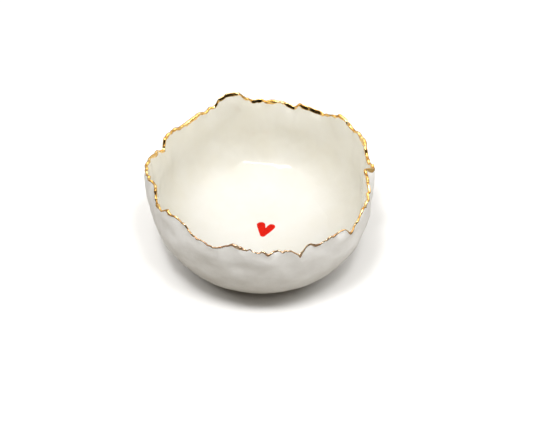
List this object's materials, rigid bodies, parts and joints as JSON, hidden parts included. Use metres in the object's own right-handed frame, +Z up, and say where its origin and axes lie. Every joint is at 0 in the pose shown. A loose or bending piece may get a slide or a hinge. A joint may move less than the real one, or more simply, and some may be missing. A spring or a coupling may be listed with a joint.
{
  "type": "trinket dish",
  "caption": "Round hand-pinched porcelain trinket dish, glossy inside and satin outside, with a torn rim edged in gold and a small red heart painted on the floor.",
  "frame": {"origin": "middle of the flat foot, on the table", "axes": "+Z up out of the bowl, -Y towards the side where the notch in the rim is, +X to the right of it"},
  "size_m": [0.0795, 0.0802, 0.0385],
  "materials": {
    "fired_clay": "bare fired porcelain, ground flat at the foot",
    "gloss_glaze": "glossy clear glaze over warm white porcelain",
    "satin_glaze": "satin cool white, lightly dented by the fingers",
    "gold_lustre": "bright fired gold lustre, uneven, brushed on by hand",
    "red_enamel": "glossy red on-glaze enamel in two brush strokes"
  },
  "bodies": {
    "root": {"bowl_body": "fired_clay", "inner_glaze": "gloss_glaze", "outer_glaze": "satin_glaze", "gold_rim": "gold_lustre", "red_heart": "red_enamel"}
  },
  "joints": []
}
